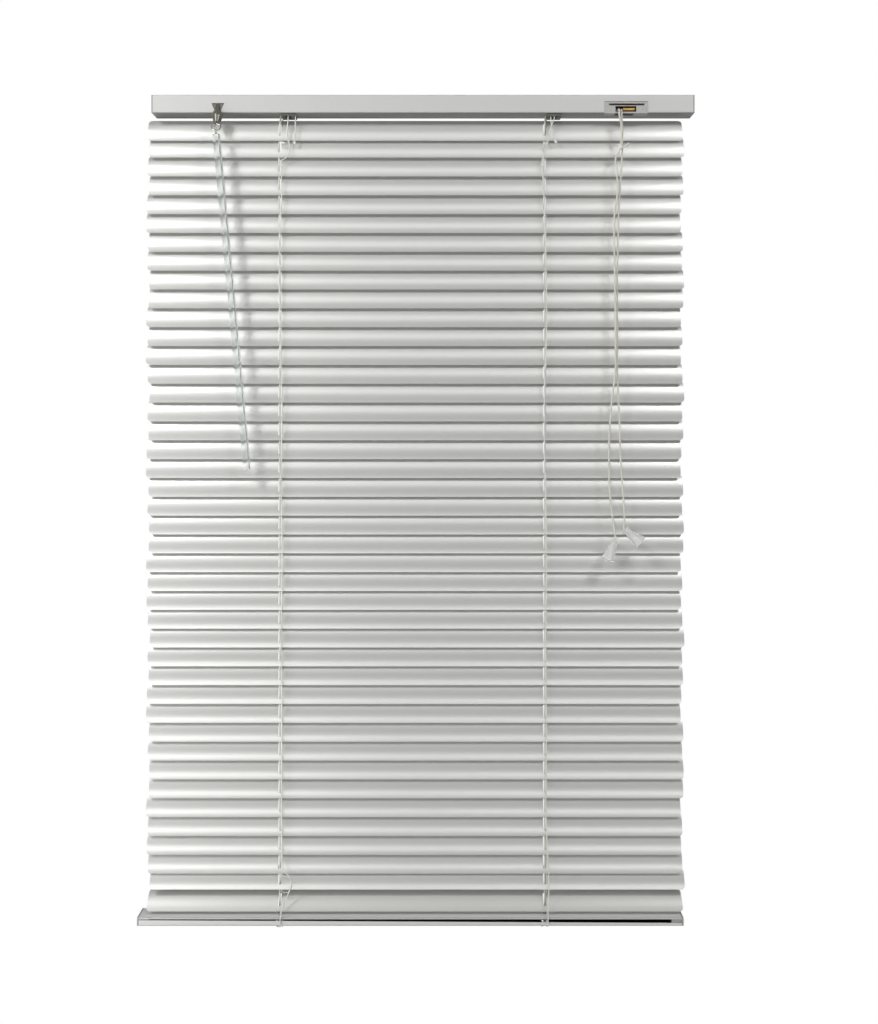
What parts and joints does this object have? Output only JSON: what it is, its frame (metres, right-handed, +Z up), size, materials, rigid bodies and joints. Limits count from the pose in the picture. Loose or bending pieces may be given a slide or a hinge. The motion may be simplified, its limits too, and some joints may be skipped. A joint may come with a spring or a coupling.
{
  "type": "horizontal slat blind",
  "caption": "Horizontal slat blind with curved slats in string ladders under a channel head rail, a wand that tilts them, lift cords with tassels and a bottom rail.",
  "frame": {"origin": "centre of the head rail's back face", "axes": "+X to the right seen from the room, +Y to the window and away from the room, +Z up"},
  "size_m": [0.616, 0.0423, 0.9232],
  "materials": {
    "rail_paint": "satin off-white paint on rolled steel",
    "slat_paint": "satin off-white paint on aluminium strip",
    "cap_plastic": "matte grey moulding",
    "white_plastic": "plain white moulding",
    "stem_plastic": "pale grey moulding",
    "zinc_steel": "bright zinc-plated steel",
    "brass": "bright brass",
    "clear_plastic": "clear plastic",
    "cord": "braided polyester cord",
    "string": "braided ladder string"
  },
  "bodies": {
    "head": {"head_rail": "rail_paint", "head_rail_end_caps": "cap_plastic", "ladder_cradles": "white_plastic", "tilter_housing": "white_plastic", "cord_lock_housing": "zinc_steel", "lift_cords": "cord", "tassels": "clear_plastic", "ladders": "string", "bottom_rail": "rail_paint", "bottom_rail_caps": "cap_plastic", "cord_buttons": "clear_plastic"},
    "tilt_drive": {"tilt_rod": "zinc_steel", "ladder_drums": "white_plastic", "tilter_gear": "white_plastic"},
    "stem": {"tilter_worm": "stem_plastic", "wand_hook": "zinc_steel"},
    "wand": {"wand": "clear_plastic"},
    "lock_roller": {"cord_lock_roller": "brass"},
    "slat_01": {"slat_01": "slat_paint"},
    "slat_02": {"slat_02": "slat_paint"},
    "slat_03": {"slat_03": "slat_paint"},
    "slat_04": {"slat_04": "slat_paint"},
    "slat_05": {"slat_05": "slat_paint"},
    "slat_06": {"slat_06": "slat_paint"},
    "slat_07": {"slat_07": "slat_paint"},
    "slat_08": {"slat_08": "slat_paint"},
    "slat_09": {"slat_09": "slat_paint"},
    "slat_10": {"slat_10": "slat_paint"},
    "slat_11": {"slat_11": "slat_paint"},
    "slat_12": {"slat_12": "slat_paint"},
    "slat_13": {"slat_13": "slat_paint"},
    "slat_14": {"slat_14": "slat_paint"},
    "slat_15": {"slat_15": "slat_paint"},
    "slat_16": {"slat_16": "slat_paint"},
    "slat_17": {"slat_17": "slat_paint"},
    "slat_18": {"slat_18": "slat_paint"},
    "slat_19": {"slat_19": "slat_paint"},
    "slat_20": {"slat_20": "slat_paint"},
    "slat_21": {"slat_21": "slat_paint"},
    "slat_22": {"slat_22": "slat_paint"},
    "slat_23": {"slat_23": "slat_paint"},
    "slat_24": {"slat_24": "slat_paint"},
    "slat_25": {"slat_25": "slat_paint"},
    "slat_26": {"slat_26": "slat_paint"},
    "slat_27": {"slat_27": "slat_paint"},
    "slat_28": {"slat_28": "slat_paint"},
    "slat_29": {"slat_29": "slat_paint"},
    "slat_30": {"slat_30": "slat_paint"},
    "slat_31": {"slat_31": "slat_paint"},
    "slat_32": {"slat_32": "slat_paint"},
    "slat_33": {"slat_33": "slat_paint"},
    "slat_34": {"slat_34": "slat_paint"},
    "slat_35": {"slat_35": "slat_paint"},
    "slat_36": {"slat_36": "slat_paint"},
    "slat_37": {"slat_37": "slat_paint"},
    "slat_38": {"slat_38": "slat_paint"},
    "slat_39": {"slat_39": "slat_paint"},
    "slat_40": {"slat_40": "slat_paint"},
    "slat_41": {"slat_41": "slat_paint"},
    "slat_42": {"slat_42": "slat_paint"}
  },
  "joints": [
    {"name": "tilt", "type": "hinge", "parent": "head", "child": "tilt_drive", "pos_m": [0, -0.0127, 0], "axis": [-1, 0, 0], "range_deg": [0, 146], "deforming": ["ladders"]},
    {"name": "slat_01_tilt", "type": "hinge", "parent": "head", "child": "slat_01", "pos_m": [0, -0.0127, -0.0258], "axis": [-1, 0, 0], "range_deg": [0, 146]},
    {"name": "slat_02_tilt", "type": "hinge", "parent": "head", "child": "slat_02", "pos_m": [0, -0.0127, -0.0445], "axis": [-1, 0, 0], "range_deg": [0, 146]},
    {"name": "slat_03_tilt", "type": "hinge", "parent": "head", "child": "slat_03", "pos_m": [0, -0.0127, -0.0655], "axis": [-1, 0, 0], "range_deg": [0, 146]},
    {"name": "slat_04_tilt", "type": "hinge", "parent": "head", "child": "slat_04", "pos_m": [0, -0.0127, -0.0865], "axis": [-1, 0, 0], "range_deg": [0, 146]},
    {"name": "slat_05_tilt", "type": "hinge", "parent": "head", "child": "slat_05", "pos_m": [0, -0.0127, -0.1075], "axis": [-1, 0, 0], "range_deg": [0, 146]},
    {"name": "slat_06_tilt", "type": "hinge", "parent": "head", "child": "slat_06", "pos_m": [0, -0.0127, -0.1285], "axis": [-1, 0, 0], "range_deg": [0, 146]},
    {"name": "slat_07_tilt", "type": "hinge", "parent": "head", "child": "slat_07", "pos_m": [0, -0.0127, -0.1495], "axis": [-1, 0, 0], "range_deg": [0, 146]},
    {"name": "slat_08_tilt", "type": "hinge", "parent": "head", "child": "slat_08", "pos_m": [0, -0.0127, -0.1705], "axis": [-1, 0, 0], "range_deg": [0, 146]},
    {"name": "slat_09_tilt", "type": "hinge", "parent": "head", "child": "slat_09", "pos_m": [0, -0.0127, -0.1915], "axis": [-1, 0, 0], "range_deg": [0, 146]},
    {"name": "slat_10_tilt", "type": "hinge", "parent": "head", "child": "slat_10", "pos_m": [0, -0.0127, -0.2125], "axis": [-1, 0, 0], "range_deg": [0, 146]},
    {"name": "slat_11_tilt", "type": "hinge", "parent": "head", "child": "slat_11", "pos_m": [0, -0.0127, -0.2335], "axis": [-1, 0, 0], "range_deg": [0, 146]},
    {"name": "slat_12_tilt", "type": "hinge", "parent": "head", "child": "slat_12", "pos_m": [0, -0.0127, -0.2545], "axis": [-1, 0, 0], "range_deg": [0, 146]},
    {"name": "slat_13_tilt", "type": "hinge", "parent": "head", "child": "slat_13", "pos_m": [0, -0.0127, -0.2755], "axis": [-1, 0, 0], "range_deg": [0, 146]},
    {"name": "slat_14_tilt", "type": "hinge", "parent": "head", "child": "slat_14", "pos_m": [0, -0.0127, -0.2965], "axis": [-1, 0, 0], "range_deg": [0, 146]},
    {"name": "slat_15_tilt", "type": "hinge", "parent": "head", "child": "slat_15", "pos_m": [0, -0.0127, -0.3175], "axis": [-1, 0, 0], "range_deg": [0, 146]},
    {"name": "slat_16_tilt", "type": "hinge", "parent": "head", "child": "slat_16", "pos_m": [0, -0.0127, -0.3385], "axis": [-1, 0, 0], "range_deg": [0, 146]},
    {"name": "slat_17_tilt", "type": "hinge", "parent": "head", "child": "slat_17", "pos_m": [0, -0.0127, -0.3595], "axis": [-1, 0, 0], "range_deg": [0, 146]},
    {"name": "slat_18_tilt", "type": "hinge", "parent": "head", "child": "slat_18", "pos_m": [0, -0.0127, -0.3805], "axis": [-1, 0, 0], "range_deg": [0, 146]},
    {"name": "slat_19_tilt", "type": "hinge", "parent": "head", "child": "slat_19", "pos_m": [0, -0.0127, -0.4015], "axis": [-1, 0, 0], "range_deg": [0, 146]},
    {"name": "slat_20_tilt", "type": "hinge", "parent": "head", "child": "slat_20", "pos_m": [0, -0.0127, -0.4225], "axis": [-1, 0, 0], "range_deg": [0, 146]},
    {"name": "slat_21_tilt", "type": "hinge", "parent": "head", "child": "slat_21", "pos_m": [0, -0.0127, -0.4435], "axis": [-1, 0, 0], "range_deg": [0, 146]},
    {"name": "slat_22_tilt", "type": "hinge", "parent": "head", "child": "slat_22", "pos_m": [0, -0.0127, -0.4645], "axis": [-1, 0, 0], "range_deg": [0, 146]},
    {"name": "slat_23_tilt", "type": "hinge", "parent": "head", "child": "slat_23", "pos_m": [0, -0.0127, -0.4855], "axis": [-1, 0, 0], "range_deg": [0, 146]},
    {"name": "slat_24_tilt", "type": "hinge", "parent": "head", "child": "slat_24", "pos_m": [0, -0.0127, -0.5065], "axis": [-1, 0, 0], "range_deg": [0, 146]},
    {"name": "slat_25_tilt", "type": "hinge", "parent": "head", "child": "slat_25", "pos_m": [0, -0.0127, -0.5275], "axis": [-1, 0, 0], "range_deg": [0, 146]},
    {"name": "slat_26_tilt", "type": "hinge", "parent": "head", "child": "slat_26", "pos_m": [0, -0.0127, -0.5485], "axis": [-1, 0, 0], "range_deg": [0, 146]},
    {"name": "slat_27_tilt", "type": "hinge", "parent": "head", "child": "slat_27", "pos_m": [0, -0.0127, -0.5695], "axis": [-1, 0, 0], "range_deg": [0, 146]},
    {"name": "slat_28_tilt", "type": "hinge", "parent": "head", "child": "slat_28", "pos_m": [0, -0.0127, -0.5905], "axis": [-1, 0, 0], "range_deg": [0, 146]},
    {"name": "slat_29_tilt", "type": "hinge", "parent": "head", "child": "slat_29", "pos_m": [0, -0.0127, -0.6115], "axis": [-1, 0, 0], "range_deg": [0, 146]},
    {"name": "slat_30_tilt", "type": "hinge", "parent": "head", "child": "slat_30", "pos_m": [0, -0.0127, -0.6325], "axis": [-1, 0, 0], "range_deg": [0, 146]},
    {"name": "slat_31_tilt", "type": "hinge", "parent": "head", "child": "slat_31", "pos_m": [0, -0.0127, -0.6535], "axis": [-1, 0, 0], "range_deg": [0, 146]},
    {"name": "slat_32_tilt", "type": "hinge", "parent": "head", "child": "slat_32", "pos_m": [0, -0.0127, -0.6745], "axis": [-1, 0, 0], "range_deg": [0, 146]},
    {"name": "slat_33_tilt", "type": "hinge", "parent": "head", "child": "slat_33", "pos_m": [0, -0.0127, -0.6955], "axis": [-1, 0, 0], "range_deg": [0, 146]},
    {"name": "slat_34_tilt", "type": "hinge", "parent": "head", "child": "slat_34", "pos_m": [0, -0.0127, -0.7165], "axis": [-1, 0, 0], "range_deg": [0, 146]},
    {"name": "slat_35_tilt", "type": "hinge", "parent": "head", "child": "slat_35", "pos_m": [0, -0.0127, -0.7375], "axis": [-1, 0, 0], "range_deg": [0, 146]},
    {"name": "slat_36_tilt", "type": "hinge", "parent": "head", "child": "slat_36", "pos_m": [0, -0.0127, -0.7585], "axis": [-1, 0, 0], "range_deg": [0, 146]},
    {"name": "slat_37_tilt", "type": "hinge", "parent": "head", "child": "slat_37", "pos_m": [0, -0.0127, -0.7795], "axis": [-1, 0, 0], "range_deg": [0, 146]},
    {"name": "slat_38_tilt", "type": "hinge", "parent": "head", "child": "slat_38", "pos_m": [0, -0.0127, -0.8005], "axis": [-1, 0, 0], "range_deg": [0, 146]},
    {"name": "slat_39_tilt", "type": "hinge", "parent": "head", "child": "slat_39", "pos_m": [0, -0.0127, -0.8215], "axis": [-1, 0, 0], "range_deg": [0, 146]},
    {"name": "slat_40_tilt", "type": "hinge", "parent": "head", "child": "slat_40", "pos_m": [0, -0.0127, -0.8425], "axis": [-1, 0, 0], "range_deg": [0, 146]},
    {"name": "slat_41_tilt", "type": "hinge", "parent": "head", "child": "slat_41", "pos_m": [0, -0.0127, -0.86], "axis": [-1, 0, 0], "range_deg": [0, 132]},
    {"name": "slat_42_tilt", "type": "hinge", "parent": "head", "child": "slat_42", "pos_m": [0, -0.0127, -0.8845], "axis": [-1, 0, 0], "range_deg": [0, 90]},
    {"name": "stem_turn", "type": "hinge", "parent": "head", "child": "stem", "pos_m": [-0.2265, -0.01977, 0.0033], "axis": [0, -0.4226, -0.9063], "range_deg": [0, 1752]},
    {"name": "wand_turn", "type": "hinge", "parent": "head", "child": "wand", "pos_m": [-0.2265, -0.03647, -0.03253], "axis": [0.0906, 0.0122, -0.9958], "range_deg": [0, 1752]},
    {"name": "roller_slide", "type": "slide", "parent": "head", "child": "lock_roller", "axis": [0, 0.9397, 0.342], "range_m": [0, 0.003]}
  ],
  "couplings": [
    {"joint": "slat_01_tilt", "follows": "tilt", "ratio": 1},
    {"joint": "slat_02_tilt", "follows": "tilt", "ratio": 1},
    {"joint": "slat_03_tilt", "follows": "tilt", "ratio": 1},
    {"joint": "slat_04_tilt", "follows": "tilt", "ratio": 1},
    {"joint": "slat_05_tilt", "follows": "tilt", "ratio": 1},
    {"joint": "slat_06_tilt", "follows": "tilt", "ratio": 1},
    {"joint": "slat_07_tilt", "follows": "tilt", "ratio": 1},
    {"joint": "slat_08_tilt", "follows": "tilt", "ratio": 1},
    {"joint": "slat_09_tilt", "follows": "tilt", "ratio": 1},
    {"joint": "slat_10_tilt", "follows": "tilt", "ratio": 1},
    {"joint": "slat_11_tilt", "follows": "tilt", "ratio": 1},
    {"joint": "slat_12_tilt", "follows": "tilt", "ratio": 1},
    {"joint": "slat_13_tilt", "follows": "tilt", "ratio": 1},
    {"joint": "slat_14_tilt", "follows": "tilt", "ratio": 1},
    {"joint": "slat_15_tilt", "follows": "tilt", "ratio": 1},
    {"joint": "slat_16_tilt", "follows": "tilt", "ratio": 1},
    {"joint": "slat_17_tilt", "follows": "tilt", "ratio": 1},
    {"joint": "slat_18_tilt", "follows": "tilt", "ratio": 1},
    {"joint": "slat_19_tilt", "follows": "tilt", "ratio": 1},
    {"joint": "slat_20_tilt", "follows": "tilt", "ratio": 1},
    {"joint": "slat_21_tilt", "follows": "tilt", "ratio": 1},
    {"joint": "slat_22_tilt", "follows": "tilt", "ratio": 1},
    {"joint": "slat_23_tilt", "follows": "tilt", "ratio": 1},
    {"joint": "slat_24_tilt", "follows": "tilt", "ratio": 1},
    {"joint": "slat_25_tilt", "follows": "tilt", "ratio": 1},
    {"joint": "slat_26_tilt", "follows": "tilt", "ratio": 1},
    {"joint": "slat_27_tilt", "follows": "tilt", "ratio": 1},
    {"joint": "slat_28_tilt", "follows": "tilt", "ratio": 1},
    {"joint": "slat_29_tilt", "follows": "tilt", "ratio": 1},
    {"joint": "slat_30_tilt", "follows": "tilt", "ratio": 1},
    {"joint": "slat_31_tilt", "follows": "tilt", "ratio": 1},
    {"joint": "slat_32_tilt", "follows": "tilt", "ratio": 1},
    {"joint": "slat_33_tilt", "follows": "tilt", "ratio": 1},
    {"joint": "slat_34_tilt", "follows": "tilt", "ratio": 1},
    {"joint": "slat_35_tilt", "follows": "tilt", "ratio": 1},
    {"joint": "slat_36_tilt", "follows": "tilt", "ratio": 1},
    {"joint": "slat_37_tilt", "follows": "tilt", "ratio": 1},
    {"joint": "slat_38_tilt", "follows": "tilt", "ratio": 1},
    {"joint": "slat_39_tilt", "follows": "tilt", "ratio": 1},
    {"joint": "slat_40_tilt", "follows": "tilt", "ratio": 1},
    {"joint": "slat_41_tilt", "follows": "tilt", "ratio": 0.90411},
    {"joint": "slat_42_tilt", "follows": "tilt", "ratio": 0.61644},
    {"joint": "stem_turn", "follows": "tilt", "ratio": 12},
    {"joint": "wand_turn", "follows": "tilt", "ratio": 12}
  ]
}
